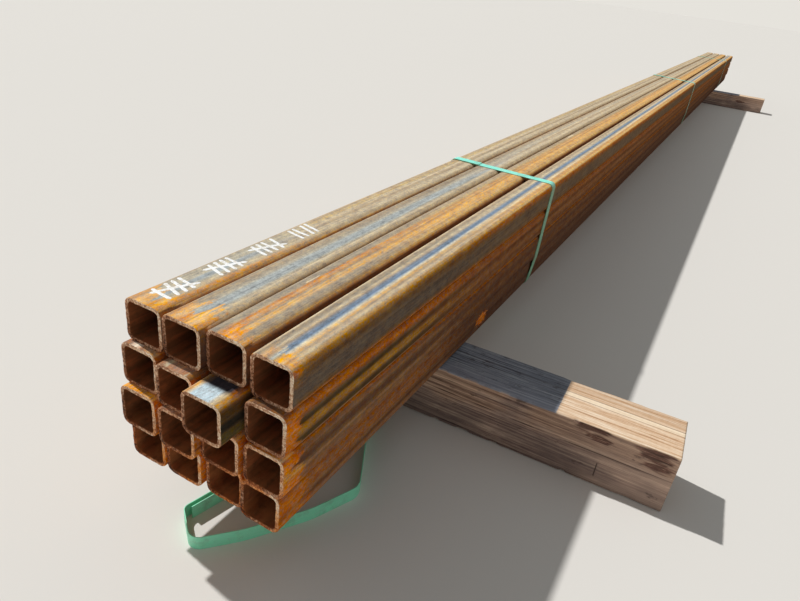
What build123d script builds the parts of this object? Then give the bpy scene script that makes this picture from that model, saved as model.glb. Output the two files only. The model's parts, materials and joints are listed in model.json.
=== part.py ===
from build123d import *
import math
import os

os.makedirs("parts", exist_ok=True)

# Frame: +X runs along the tubes away from the end that shows its cut faces, +Y is the bundle's
# left side seen from that end, and +Z is up. Sizes are in millimetres. The bundle is laid out
# from a datum at its near end plane, its left side and its underside, and the whole stack is
# moved at the end so that the origin is at the bottom centre of everything in it.

# Square tube, 2 in by 2 in with a 3/16 in wall, in 20 ft mill lengths
tube_width = 50.8
tube_wall = 4.76
tube_corner = 9.5
tube_length = 6096.0

# Rows from the top down, each with its sideways place, its gaps and its end stagger.
# A positive row_side shifts a row to the left. A negative stagger sticks out of the near end.
row_names = ["top", "upper", "lower", "bottom"]
row_side = {"top": 0.0, "upper": 3.0, "lower": 2.0, "bottom": 2.5}
row_gaps = {
    "top": [1.7, 0.8, 7.0],
    "upper": [5.0, 1.0, 6.0],
    "lower": [6.5, 0.6, 4.4],
    "bottom": [1.5, 5.0, 0.8],
}
row_stagger = {
    "top": [-3.0, -3.5, 3.0, 0.0],
    "upper": [-10.0, -16.0, -32.0, -7.0],
    "lower": [-17.0, -19.0, -11.0, -9.0],
    "bottom": [-7.0, -6.0, -3.5, -8.0],
}

# Plastic strapping, 3/4 in wide, pulled tight round the bundle and welded where it laps.
# A strap's place is where it crosses the bundle's top left edge. Its lean carries its underside
# nearer to the near end, and its skew carries its right side there.
strap_width = 19.05
strap_thickness = 1.0
strap_clearance = 0.1
strap_lap = 55.0
strap_lap_inset = 4.0
strap_near_place = 789.0
strap_near_lean = 5.4
strap_near_skew = 0.0
strap_middle_place = 3226.0
strap_middle_lean = 2.0
strap_middle_skew = 14.0
strap_far_from_end = 762.0
strap_far_lean = -2.0
strap_far_skew = 3.0

# Rough-sawn timbers that carry the bundle off the ground
bearer_width = 98.0
bearer_height = 95.0
bearer_length = 810.0
bearer_arris = 2.5
bearer_right_overhang = 343.0
bearer_near_place = 425.0
bearer_near_skew = 2.2
bearer_far_from_end = 981.0
bearer_far_skew = 1.5

# Strap that slipped off whole and stands on its edge under the near end. Its creases and bends
# are given with a radius each, as how far they lie in front of the near bearer and to the right
# of the bundle's left side. They start at its right end and run round by the back.
# Its lap is on the back wall, measured from the back left crease. The inner end has sprung off
# there, stands off the wall and ends just before the crease.
loose_bends = [
    ((27.0, 110.5), 14.0),
    ((34.0, 85.0), 10.0),
    ((205.0, 82.5), 200.0),
    ((361.8, 48.8), 9.0),
    ((392.4, 89.4), 14.0),
    ((346.0, 129.5), 150.0),
    ((274.0, 174.5), 150.0),
    ((207.0, 201.5), 25.0),
]
loose_back_middle = 2
loose_back_left = 3
loose_lap_from_crease = 84.0
loose_tail_slope = 36.0
loose_tail_gap = 5.5
loose_tail_bend = 100.0
loose_tail_from_crease = 1.0


def tube_section():
    """One tube's rolled section, centred, with its bore."""
    bore_width = tube_width - 2 * tube_wall
    bore_corner = tube_corner - tube_wall
    outside = RectangleRounded(tube_width, tube_width, tube_corner)
    return outside - RectangleRounded(bore_width, bore_width, bore_corner)


def tube_places():
    """Name, centre and near end of each tube, row by row from the top and left to right."""
    places = []
    for level, row in enumerate(row_names):
        left_face = row_side[row]
        height = (len(row_names) - level - 0.5) * tube_width
        for column, stagger in enumerate(row_stagger[row]):
            name = f"tube_{row}_{column + 1}"
            places.append((name, left_face - tube_width / 2, height, stagger))
            gap = row_gaps[row][column] if column < len(row_gaps[row]) else 0.0
            left_face -= tube_width + gap
    return places


def cross_plane(x):
    """Plane across the bundle at x, drawn with Y to the left as local x and Z up as local y."""
    return Plane(origin=(x, 0, 0), x_dir=(0, 1, 0), z_dir=(1, 0, 0))


def make_tube(side, height, stagger):
    """A tube from its staggered near end to its far end."""
    section = cross_plane(stagger) * Pos(side, height) * tube_section()
    return extrude(section, tube_length)


def turn(a, b, c):
    """Positive where the way from a through b to c turns left."""
    return (b[0] - a[0]) * (c[1] - b[1]) - (b[1] - a[1]) * (c[0] - b[0])


def convex_corners(points):
    """Corners of the tightest convex polygon round the points, without those in line."""
    corners = []
    for ordered in (sorted(points), sorted(points, reverse=True)):
        side = []
        for point in ordered:
            while len(side) > 1 and turn(side[-2], side[-1], point) < 1e-6:
                side.pop()
            side.append(point)
        corners += side[:-1]
    return corners


def taut_outline(stand_off):
    """Section of the bundle as a tight strap sees it, its straight runs and rounded corners.

    All the tubes' corners have one radius, so the outline is the convex polygon round the
    centres of those corners, grown by the radius and by how far it stands off the tubes.
    """
    reach = tube_width / 2 - tube_corner
    centres = []
    for name, side, height, stagger in tube_places():
        for right, up in ((-1, -1), (-1, 1), (1, -1), (1, 1)):
            centres.append((side + right * reach, height + up * reach))
    polygon = make_face(Polyline(*convex_corners(centres), close=True).edges())
    return offset(polygon, tube_corner + stand_off, kind=Kind.ARC)


def wrap_layer(number):
    """Section of one layer of strap, the first next to the tubes."""
    inner = strap_clearance + number * strap_thickness
    return taut_outline(inner + strap_thickness) - taut_outline(inner)


def make_strap(place, lean, skew):
    """A tight ring cut out of the wrapped outline by a leaning slab, with its welded lap."""
    top = len(row_names) * tube_width
    reach = top / 2
    start = cross_plane(place - reach)
    ring = extrude(start * wrap_layer(0), 2 * reach)
    lap = extrude(start * wrap_layer(1), 2 * reach)
    lap_zone = Pos(place, row_side["top"] - strap_lap_inset - strap_lap / 2, top)
    lap = lap & lap_zone * Box(4 * reach, strap_lap, tube_width)
    slab = Box(strap_width, 4 * top, 4 * top)
    return (ring + lap) & Pos(place, 0, top) * Rot(0, lean, -skew) * slab


def make_bearer(place, skew):
    """A sawn timber across the bundle, with its long edges worn round."""
    block = Box(bearer_width, bearer_length, bearer_height)
    block = fillet(block.edges().filter_by(Axis.Y), bearer_arris)
    right_face = min(side for name, side, height, stagger in tube_places()) - tube_width / 2
    centre = right_face - bearer_right_overhang + bearer_length / 2
    return Pos(place, centre, -bearer_height / 2) * Rot(0, 0, skew) * block


def make_loose_strap(girth):
    """The slipped-off ring, standing on its edge and as long as a tight one, with its lap and tail."""
    front = bearer_near_place - bearer_width / 2
    points = [Vector(front - before, -right) for (before, right), radius in loose_bends]
    radii = [radius for point, radius in loose_bends]
    right_end = points[0]
    loop = FilletPolyline(*[point - right_end for point in points], radius=radii, close=True)
    plan = Pos(right_end) * make_face(scale(loop, girth / loop.length).edges())
    ring = offset(plan, strap_thickness) - plan

    # Frame on the back wall: x runs to the right end from where the back left crease ends,
    # and the wall's inner layer lies between y = -strap_thickness and y = 0
    run = points[loose_back_middle] - points[loose_back_left]
    crease_end = plan.vertices().sort_by(Axis.Y)[-1]
    wall = Pos(crease_end.X, crease_end.Y) * Rot(0, 0, math.degrees(math.atan2(run.Y, run.X)))
    inner_layer = Rectangle(strap_lap, strap_thickness, align=(Align.MIN, Align.MAX))
    lap = Pos(loose_lap_from_crease, 0) * inner_layer
    on_wall = -strap_thickness / 2
    tail_path = FilletPolyline(
        (loose_lap_from_crease + strap_thickness, on_wall),
        (loose_lap_from_crease - strap_thickness, on_wall),
        (loose_lap_from_crease - loose_tail_slope, on_wall - loose_tail_gap),
        (loose_tail_from_crease, on_wall - loose_tail_gap),
        radius=(0.0, loose_tail_bend),
    )
    tail = trace(tail_path, strap_thickness)
    return extrude(Pos(0, 0, -bearer_height) * (ring + wall * (lap + tail)), strap_width)


girth = taut_outline(strap_clearance).faces()[0].outer_wire().length
print("length of a strap once round the bundle", round(girth, 1))

pieces = {}
for name, side, height, stagger in tube_places():
    pieces[name] = make_tube(side, height, stagger)
pieces["strap_near"] = make_strap(strap_near_place, strap_near_lean, strap_near_skew)
pieces["strap_middle"] = make_strap(strap_middle_place, strap_middle_lean, strap_middle_skew)
strap_far_place = tube_length - strap_far_from_end
pieces["strap_far"] = make_strap(strap_far_place, strap_far_lean, strap_far_skew)
pieces["bearer_near"] = make_bearer(bearer_near_place, bearer_near_skew)
pieces["bearer_far"] = make_bearer(tube_length - bearer_far_from_end, bearer_far_skew)
pieces["loose_strap"] = make_loose_strap(girth)

# Bottom centre of everything becomes the origin
box = Compound(children=[Part() + piece for piece in pieces.values()]).bounding_box()
to_origin = Pos(-box.center().X, -box.center().Y, -box.min.Z)
for name, piece in pieces.items():
    export_step(to_origin * piece, f"parts/{name}.step")
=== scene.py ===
# %% [markdown]
# A strapped stack of square steel tubing, sixteen tubes on two timbers.
#
# The imported model is the fixed frame: it says where every tube, strap and timber is. Everything below
# gives those pieces their finish, or stands for one of them with a mesh of the same size that has more
# detail. First the frame is loaded. The finished model may not outgrow it.

# %% Load the frame
import json
import math

import bmesh
import bpy
from mathutils import Matrix, Quaternion, Vector, noise

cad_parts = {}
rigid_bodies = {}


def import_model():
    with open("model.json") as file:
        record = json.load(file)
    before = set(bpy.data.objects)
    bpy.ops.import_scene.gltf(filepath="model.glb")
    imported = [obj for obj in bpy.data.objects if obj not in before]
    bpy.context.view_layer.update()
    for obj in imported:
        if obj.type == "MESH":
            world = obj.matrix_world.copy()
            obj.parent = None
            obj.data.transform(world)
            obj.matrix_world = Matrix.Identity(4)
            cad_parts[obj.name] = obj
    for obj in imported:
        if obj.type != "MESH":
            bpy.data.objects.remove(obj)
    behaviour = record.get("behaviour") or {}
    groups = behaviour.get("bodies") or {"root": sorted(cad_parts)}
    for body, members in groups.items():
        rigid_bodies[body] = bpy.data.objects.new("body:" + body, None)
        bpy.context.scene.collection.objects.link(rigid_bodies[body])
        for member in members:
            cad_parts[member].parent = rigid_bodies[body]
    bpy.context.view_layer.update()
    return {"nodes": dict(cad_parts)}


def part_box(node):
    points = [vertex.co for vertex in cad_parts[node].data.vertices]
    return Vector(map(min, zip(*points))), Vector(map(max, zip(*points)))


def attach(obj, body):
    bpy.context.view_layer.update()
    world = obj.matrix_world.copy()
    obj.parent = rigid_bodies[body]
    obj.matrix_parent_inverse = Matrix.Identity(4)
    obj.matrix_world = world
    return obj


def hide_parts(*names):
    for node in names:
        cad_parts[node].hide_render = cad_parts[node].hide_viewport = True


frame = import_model()
mm = 0.001

# %% [markdown]
# Sizes that the finishes need are measured from the frame and never typed in again: how wide a tube is,
# and where the bundle's left side, its two ends and its underside are. Only the wall and the corners
# of the tube can't be read off a box, so they are named here, as on the mill's list.

# %% Measure the bundle
ROWS = ["top", "upper", "lower", "bottom"]
COLUMNS = [1, 2, 3, 4]
tube_names = [f"tube_{row}_{column}" for row in ROWS for column in COLUMNS]
tube_wall = 4.76 * mm
tube_corner = 9.5 * mm
tube_low, tube_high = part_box("tube_top_4")
tube_width = tube_high.z - tube_low.z
near_end, far_end = tube_low.x, tube_high.x
left_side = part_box("tube_top_1")[1].y
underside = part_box("bearer_near")[1].z
print("tube width in mm", round(tube_width / mm, 2), "length", round((far_end - near_end) / mm))

# %% [markdown]
# A finish is a small circuit of nodes. Written out in full it is hard to follow, so a few helpers lay
# the nodes: one puts a node down and feeds its sockets, and the others do sums, mix colours, make
# noise and run a value through a colour ramp. A socket may be fed by a number or by another node's
# output, and the helpers take either.

# %% Helpers that lay nodes
def feed(tree, socket, value):
    """Gives a socket a plain value, or wires another node's output to it."""
    if isinstance(value, bpy.types.NodeSocket):
        tree.links.new(value, socket)
    else:
        socket.default_value = value


def put(tree, kind, inputs=None, **settings):
    """Adds a node of a kind, with its settings and what feeds its sockets."""
    node = tree.nodes.new("ShaderNode" + kind)
    for name, value in settings.items():
        setattr(node, name, value)
    for socket, value in (inputs or {}).items():
        feed(tree, node.inputs[socket], value)
    return node


def calc(tree, operation, *values):
    """One sum, with as many values as it takes."""
    node = put(tree, "Math", dict(enumerate(values)), operation=operation)
    return node.outputs[0]


# %% Helpers that mix and mask
def mix(tree, share, first, second, blend="MIX"):
    """Two colours mixed by a share from 0 to 1."""
    inputs = {0: share, 6: first, 7: second}
    return put(tree, "Mix", inputs, data_type="RGBA", blend_type=blend).outputs[2]


def rise(tree, value, start, end, low=0.0, high=1.0):
    """A mask that climbs smoothly from low to high while the value goes from start to end."""
    inputs = {0: value, 1: start, 2: end, 3: low, 4: high}
    return put(tree, "MapRange", inputs, interpolation_type="SMOOTHSTEP").outputs[0]


# %% Helpers for noise, ramps and materials
def clouds(tree, place, stretch, detail=3.0, roughness=0.55):
    """Noise from 0 to 1, with so many waves a metre along X, Y and Z."""
    scaled = put(tree, "VectorMath", {0: place, 1: stretch}, operation="MULTIPLY").outputs[0]
    inputs = {"Vector": scaled, "Scale": 1.0, "Detail": detail, "Roughness": roughness}
    return put(tree, "TexNoise", inputs).outputs["Fac"]


def uneven(tree, value, noise_value, amount):
    """A value pushed up and down by a noise whose middle is a half."""
    return calc(tree, "MULTIPLY_ADD", calc(tree, "SUBTRACT", noise_value, 0.5), amount, value)


def colour_ramp(tree, value, colours):
    """A colour ramp through a list of (value, colour)."""
    node = put(tree, "ValToRGB", {0: value})
    elements = node.color_ramp.elements
    colours = sorted(colours, key=lambda pair: pair[0])
    elements[0].position, elements[0].color = colours[0]
    elements[1].position, elements[1].color = colours[-1]
    for where, colour in colours[1:-1]:
        elements.new(where).color = colour
    return node.outputs[0]


def new_material(name):
    """A material with its node tree and its shader."""
    material = bpy.data.materials.new(name)
    material.use_nodes = True
    return material, material.node_tree, material.node_tree.nodes["Principled BSDF"]


# %% [markdown]
# Colours are named as a yard hand would name them. Each is given as it looks on a colour chart, from 0
# to 255, and turned into the linear light that Blender reckons with. Hot-rolled tube leaves the mill
# with a skin of blue-grey scale. Rust then starts gold, turns orange and ends deep brown.

# %% Palette of the finishes
def paint(*chart):
    """A chart colour, given as red, green and blue, as linear light with full cover."""
    linear = [((part / 255 + 0.055) / 1.055) ** 2.4 for part in chart]
    return (*linear, 1.0)


FINISHES = {
    "pale_stone": paint(192, 183, 162),
    "stone": paint(182, 172, 152),
    "dry_grey": paint(164, 151, 132),
    "dust": paint(174, 155, 130),
    "cool_grey": paint(174, 178, 173),
    "steel_grey": paint(163, 167, 166),
    "beige": paint(204, 186, 156),
    "tan": paint(190, 168, 138),
    "straw": paint(198, 172, 128),
    # The edge colours are a painted highlight, lighter than the steel, to lift the shaded rounded corners.
    "edge_highlight_tan": paint(206, 184, 150),
    "edge_highlight_brown": paint(226, 172, 108),
    "edge_highlight_pale": paint(232, 208, 172),
    "edge_highlight_gold": paint(253, 208, 138),
    "edge_highlight_orange": paint(248, 180, 112),
    "washed_grey": paint(166, 171, 170),
    "seam_grey": paint(148, 145, 144),
    "gold": paint(212, 170, 116),
    "rich_gold": paint(224, 176, 112),
    "copper": paint(196, 150, 106),
    "rust_orange": paint(206, 140, 84),
    "cut_tan": paint(212, 166, 118),
    "cut_yellow": paint(232, 184, 122),
    "cut_orange": paint(233, 160, 82),
    "amber": paint(238, 176, 82),
    "chalk_blue": paint(198, 214, 220),
    "seam_pale": paint(192, 196, 188),
    "seam_blue": paint(134, 151, 171),
    "seam_dark": paint(124, 138, 154),
    "seam_shine": paint(226, 206, 172),
    "corner_gold": paint(226, 159, 73),
    "corner_rust": paint(240, 156, 76),
    "bright_rust": paint(219, 123, 40),
    "hot_rust": paint(198, 115, 44),
    "rust": paint(164, 102, 58),
    "olive_gold": paint(174, 125, 62),
    "olive_dark": paint(92, 68, 40),
    "green_black": paint(86, 69, 47),
    "warm_scale": paint(109, 93, 79),
    "far_scale": paint(120, 98, 77),
    "brown": paint(141, 99, 64),
    "umber": paint(133, 98, 66),
    "dark_umber": paint(115, 88, 62),
    "dusty_brown": paint(153, 110, 78),
    "pale_line": paint(162, 121, 88),
    "far_rust": paint(161, 102, 62),
    "far_brown": paint(142, 96, 62),
    "far_umber": paint(127, 85, 57),
    "deep_brown": paint(111, 79, 60),
    "soot_brown": paint(98, 69, 54),
    "olive": paint(104, 88, 50),
    # A painted shadow: near-black on the tube that sticks out, under the tube above.
    "olive_black": paint(52, 46, 38),
    "painted_shadow_black": paint(62, 56, 60),
    "bore_red": paint(138, 72, 42),
    "bore_brown": paint(86, 48, 32),
    "bore_dark": paint(42, 26, 21),
    "crust_white": paint(250, 233, 208),
    "crust_pale": paint(226, 193, 160),
    "crust_pink": paint(184, 138, 109),
    "crust_brown": paint(134, 90, 62),
    "crust_dark": paint(58, 38, 32),
    "crust_orange": paint(255, 189, 110),
}
print("finishes", len(FINISHES))


# %% A ramp through named finishes
def finish_ramp(tree, value, bands):
    """A colour ramp through a list of (value, name of a finish)."""
    return colour_ramp(tree, value, [(where, FINISHES[finish]) for where, finish in bands])


# %% [markdown]
# What several materials share is a node group, built once and placed in each with its own amounts.
# The first group answers the question "where on the tube am I?". A tube's rust lies in bands that run
# its whole length, because the strip it was rolled from was stained in bands, so what counts is how far
# round the tube a point lies. Unwrapped pictures could do that, but a sum on the object's own
# coordinates is exact and needs no picture: the face that a point is on shows in which of its two
# distances from the tube's middle is the longer, and the other one says how far across.

# %% Start a node group
def new_group(name, inputs, outputs):
    """An empty shader node group with named sockets, and its two end nodes."""
    tree = bpy.data.node_groups.new(name, "ShaderNodeTree")
    for socket, (kind, value) in inputs.items():
        made = tree.interface.new_socket(name=socket, in_out="INPUT", socket_type="NodeSocket" + kind)
        made.default_value = value
    for socket, kind in outputs.items():
        tree.interface.new_socket(name=socket, in_out="OUTPUT", socket_type="NodeSocket" + kind)
    return tree, tree.nodes.new("NodeGroupInput").outputs, tree.nodes.new("NodeGroupOutput").inputs


def use_group(tree, group, inputs):
    """Places a group in a material and feeds its named sockets."""
    node = tree.nodes.new("ShaderNodeGroup")
    node.node_tree = group
    for name, value in inputs.items():
        feed(tree, node.inputs[name], value)
    return node.outputs


# %% Where on the tube a point lies
def make_round_the_tube():
    """Girth runs 0 to 1 round the tube: top, right side, underside, left side, a quarter each."""
    inputs = {"Middle Y": ("Float", 0.0), "Middle Z": ("Float", 0.0), "Wander": ("Float", 0.008)}
    tree, given, made = new_group("Round the tube", inputs, {"Girth": "Float"})
    place = put(tree, "TexCoord").outputs["Object"]
    parts = put(tree, "SeparateXYZ", {0: place}).outputs
    across = calc(tree, "SUBTRACT", parts["Y"], given["Middle Y"])
    up = calc(tree, "SUBTRACT", parts["Z"], given["Middle Z"])
    wide = calc(tree, "ABSOLUTE", across)
    tall = calc(tree, "ABSOLUTE", up)
    flat = calc(tree, "GREATER_THAN", tall, wide)
    longest = calc(tree, "MAXIMUM", tall, wide)
    rightwards = calc(tree, "MULTIPLY", calc(tree, "DIVIDE", across, longest), -1.0)
    downwards = calc(tree, "MULTIPLY", calc(tree, "DIVIDE", up, longest), -1.0)
    over = calc(tree, "SIGN", up)
    left = calc(tree, "SIGN", across)
    face_start = calc(tree, "MULTIPLY_ADD", over, -2.0, 2.0)
    on_flat = calc(tree, "ADD", calc(tree, "MULTIPLY", rightwards, over), face_start)
    side_start = calc(tree, "MULTIPLY_ADD", left, 2.0, 4.0)
    on_side = calc(tree, "SUBTRACT", side_start, calc(tree, "MULTIPLY", downwards, left))
    picked = put(tree, "Mix", {0: flat, 2: on_side, 3: on_flat}).outputs[0]
    girth = calc(tree, "DIVIDE", calc(tree, "ADD", picked, 1.0), 8.0)
    slow = clouds(tree, place, (1.3, 30.0, 30.0), detail=2.0)
    quick = clouds(tree, place, (9.0, 160.0, 160.0), detail=3.0)
    drift = uneven(tree, uneven(tree, 0.0, quick, 1.0), slow, 1.6)
    feed(tree, made["Girth"], calc(tree, "MULTIPLY_ADD", drift, given["Wander"], girth))
    return tree


round_the_tube = make_round_the_tube()
print("group", round_the_tube.name, "with", len(round_the_tube.nodes), "nodes")

# %% [markdown]
# The second group breaks up a band's flat colour. Rolling leaves fine scratches that run lengthwise,
# dew and dust leave a mottle of a centimetre, and the scale itself is speckled and grained by the
# millimetre. Rust starts in the lows of that mottle and stains what is under it orange, so one mask
# serves for the rust's colour, its dull roughness and its height. The group puts out a colour, a value
# and a height only: the shader stays in each material.

# %% Rust and grain over a band's colour
def make_weathering():
    """Breaks a plain colour up with streaks, mottle, speckle and rust."""
    inputs = {"Colour": ("Color", (0.5, 0.5, 0.5, 1.0)), "Rust": ("Float", 0.3), "Seed": ("Float", 0.0)}
    outputs = {"Colour": "Color", "Roughness": "Float", "Height": "Float"}
    tree, given, made = new_group("Weathering", inputs, outputs)
    spot = put(tree, "TexCoord").outputs["Object"]
    away = put(tree, "CombineXYZ", {0: given["Seed"], 1: given["Seed"], 2: given["Seed"]}).outputs[0]
    place = put(tree, "VectorMath", {0: spot, 1: away}, operation="ADD").outputs[0]
    wide_streaks = clouds(tree, place, (0.8, 70.0, 70.0))
    fine_streaks = clouds(tree, place, (5.0, 420.0, 420.0))
    mottle = clouds(tree, place, (60.0, 110.0, 110.0), detail=5.0, roughness=0.65)
    speckle = clouds(tree, place, (210.0, 330.0, 330.0), detail=3.0, roughness=0.7)
    grain = clouds(tree, place, (620.0, 760.0, 760.0), detail=2.0, roughness=0.7)

    shares = ((wide_streaks, 0.5), (fine_streaks, 0.8), (mottle, 1.0), (speckle, 1.2), (grain, 0.8))
    value = 1.0
    for source, share in shares:
        value = uneven(tree, value, source, share)
    hue = uneven(tree, 0.5, mottle, 0.05)
    saturation = uneven(tree, 1.0, speckle, 1.4)
    inputs = {"Hue": hue, "Saturation": saturation, "Value": value, "Color": given["Colour"]}
    varied = put(tree, "HueSaturation", inputs).outputs[0]

    lows = calc(tree, "MULTIPLY", mottle, 0.45)
    for source, share in ((wide_streaks, 0.2), (speckle, 0.2), (grain, 0.15)):
        lows = calc(tree, "MULTIPLY_ADD", source, share, lows)
    limit = calc(tree, "MULTIPLY_ADD", given["Rust"], -0.35, 0.75)
    mask = rise(tree, lows, limit, calc(tree, "ADD", limit, 0.09))
    stained = mix(tree, 1.0, varied, (1.08, 0.72, 0.4, 1.0), "MULTIPLY")
    old_to_young = finish_ramp(tree, fine_streaks, [(0.35, "brown"), (0.52, "hot_rust"), (0.68, "gold")])
    rusted = mix(tree, 0.25, stained, old_to_young)
    feed(tree, made["Colour"], mix(tree, calc(tree, "MULTIPLY", mask, 0.7), varied, rusted))
    dull = calc(tree, "MULTIPLY_ADD", mask, 0.28, 0.48)
    feed(tree, made["Roughness"], calc(tree, "MULTIPLY_ADD", grain, 0.16, dull))
    height = calc(tree, "MULTIPLY_ADD", speckle, 0.5, calc(tree, "MULTIPLY", mottle, 0.4))
    height = calc(tree, "MULTIPLY_ADD", grain, 0.4, height)
    feed(tree, made["Height"], calc(tree, "MULTIPLY_ADD", mask, 0.4, height))
    return tree


weathering = make_weathering()
print("group", weathering.name, "with", len(weathering.nodes), "nodes")

# %% [markdown]
# A third, small group marks a chip, where a knock or a drip has left a spot of another colour. It needs
# a place along the tube and round it, and a length and a height, and its edge is made ragged by noise.

# %% A chip at a place
def make_chip():
    """Mask that is 1 inside a ragged oval round a place along and round the tube."""
    numbers = {"Along": 0.0, "Girth": 0.0, "Where": 0.5, "Round": 0.1, "Long": 0.02, "Tall": 0.01}
    inputs = {socket: ("Float", number) for socket, number in numbers.items()}
    tree, given, made = new_group("Chip", inputs, {"Mask": "Float"})
    place = put(tree, "TexCoord").outputs["Object"]
    long = calc(tree, "DIVIDE", calc(tree, "SUBTRACT", given["Along"], given["Where"]), given["Long"])
    tall = calc(tree, "DIVIDE", calc(tree, "SUBTRACT", given["Girth"], given["Round"]), given["Tall"])
    squares = calc(tree, "ADD", calc(tree, "MULTIPLY", long, long), calc(tree, "MULTIPLY", tall, tall))
    ragged = clouds(tree, place, (150.0, 260.0, 260.0), detail=4.0, roughness=0.7)
    away = uneven(tree, calc(tree, "SQRT", squares), ragged, 2.6)
    feed(tree, made["Mask"], rise(tree, away, 0.75, 1.0, 1.0, 0.0))
    return tree


chip_mask = make_chip()
print("group", chip_mask.name, "with", len(chip_mask.nodes), "nodes")

# %% [markdown]
# Now a tube's skin. Its bands are written down as a short list for each face that shows: how far across
# the face a finish sits, left to right on top and top to bottom on the right side. There are three such
# pairs a tube, at the cut, near it and a good way along, because the stains change over a metre; the far
# tops are paler, partly from stains and partly as a painted sheen, since the skin has no gloss of its
# own. A colour ramp turns each pair into bands, and a mask along the tube fades one ramp into the next.
# The underside and the left side have plainer lists. At the cut the scale has cracked off, and fresh
# orange rust creeps in for a few centimetres, further in some patches than in others. How far it creeps
# and where the bands change differ between the top and the side, so both are pairs. A tube that is cut
# cleaner than the rest has a "ragged" below 1.

# %% Bands turned into places round the tube
EDGE_OF_FACE = 0.015
UNDERSIDE = [(0.0, "deep_brown"), (0.5, "warm_scale"), (1.0, "brown")]


def face_bands(face, bands):
    """Places across a face turned into places round the tube. The top is face 0, the right side face 1."""
    flat = 1 - 2 * EDGE_OF_FACE
    return [((face + EDGE_OF_FACE + flat * across) / 4, finish) for across, finish in bands]


print("underside from", round(face_bands(2, UNDERSIDE)[0][0], 3), "of the way round")

# %% The skin of one tube
CHANGE_STARTS, CHANGE_ENDS = 0.6, 1.6
CHANGE_PATCHINESS = 1.2
CREEP_PATCHINESS = -3.4
CREEP_SOLID, CREEP_GONE = 0.75, 1.2
FRESH_EXTRA_RUST = 0.25
SKIN_BUMP = 0.4 * mm


def steel_skin(name, look, left_bands):
    """A tube's outside, from its bands, how far they reach along it, its rust and its chips."""
    low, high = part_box(name)
    middle = (low + high) / 2
    material, tree, shader = new_material("skin_" + name)
    girth = use_group(tree, round_the_tube, {"Middle Y": middle.y, "Middle Z": middle.z})["Girth"]
    place = put(tree, "TexCoord").outputs["Object"]
    along = calc(tree, "SUBTRACT", put(tree, "SeparateXYZ", {0: place}).outputs["X"], low.x)
    at_cut, near, far = [finish_ramp(tree, girth, face_bands(0, top) + face_bands(1, right))
                         for top, right in (look["cut"], look["near"], look["far"])]
    past_top = calc(tree, "GREATER_THAN", girth, 0.25)
    changes, creep = [put(tree, "Mix", {0: past_top, 2: on_top, 3: on_side}).outputs[0]
                      for on_top, on_side in (look["changes"], look["creep"])]
    patches = clouds(tree, place, (2.5, 70.0, 70.0))
    change = uneven(tree, calc(tree, "DIVIDE", along, changes), patches, CHANGE_PATCHINESS)
    shown = mix(tree, rise(tree, change, CHANGE_STARTS, CHANGE_ENDS), near, far)

    blotches = clouds(tree, place, (55.0, 110.0, 110.0), detail=5.0, roughness=0.65)
    trails = clouds(tree, place, (4.0, 120.0, 120.0), detail=2.0)
    to_end = calc(tree, "MINIMUM", along, calc(tree, "SUBTRACT", high.x - low.x, along))
    patchiness = CREEP_PATCHINESS * look.get("ragged", 1.0)
    reach = uneven(tree, calc(tree, "DIVIDE", to_end, creep), blotches, patchiness)
    reach = uneven(tree, reach, trails, patchiness)
    fresh = rise(tree, reach, CREEP_SOLID, CREEP_GONE, 1.0, 0.0)
    shown = mix(tree, fresh, shown, at_cut)
    turned_away = finish_ramp(tree, girth, face_bands(2, UNDERSIDE) + face_bands(3, left_bands))
    turned_away = mix(tree, fresh, turned_away, FINISHES["cut_orange"])
    base = mix(tree, calc(tree, "GREATER_THAN", girth, 0.5), shown, turned_away)
    for where, round_at, long, tall, finish in look.get("chips", []):
        spot = {"Along": along, "Girth": girth, "Where": where, "Round": round_at}
        chip = use_group(tree, chip_mask, {**spot, "Long": long, "Tall": tall})["Mask"]
        base = mix(tree, chip, base, FINISHES[finish])

    more = calc(tree, "MULTIPLY_ADD", fresh, FRESH_EXTRA_RUST, look["rust"])
    seed = middle.y * 31 + middle.z * 17
    worn = use_group(tree, weathering, {"Colour": base, "Rust": more, "Seed": seed})
    feed(tree, shader.inputs["Base Color"], worn["Colour"])
    feed(tree, shader.inputs["Roughness"], worn["Roughness"])
    # No gloss: the sheen of the far tops is painted into their bands instead.
    shader.inputs["Specular IOR Level"].default_value = 0.0
    bump = put(tree, "Bump", {"Height": worn["Height"], "Distance": SKIN_BUMP, "Strength": 0.8})
    feed(tree, shader.inputs["Normal"], bump.outputs[0])
    return material


# %% [markdown]
# These are the stains of the tubes that show. The other tubes hide inside the bundle, or show only on
# its back and underside, so they share plainer bands, picked by turns. Of some, a finger's width of the
# top shows at the cut, with the pale crust of the cut, or orange, and on the right tube of the upper row
# painted dark brown, a painted shade under the tube above. In the gaps between the top tubes only the
# first tenth of a side shows: its upper edge is painted pale or gold as a painted highlight, and below
# that the side is painted dark brown as a painted shade in the gap. Where the right sides of the top and
# upper rows hide between the tubes, they are painted dark brown at the cut too, as painted shade.

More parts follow.
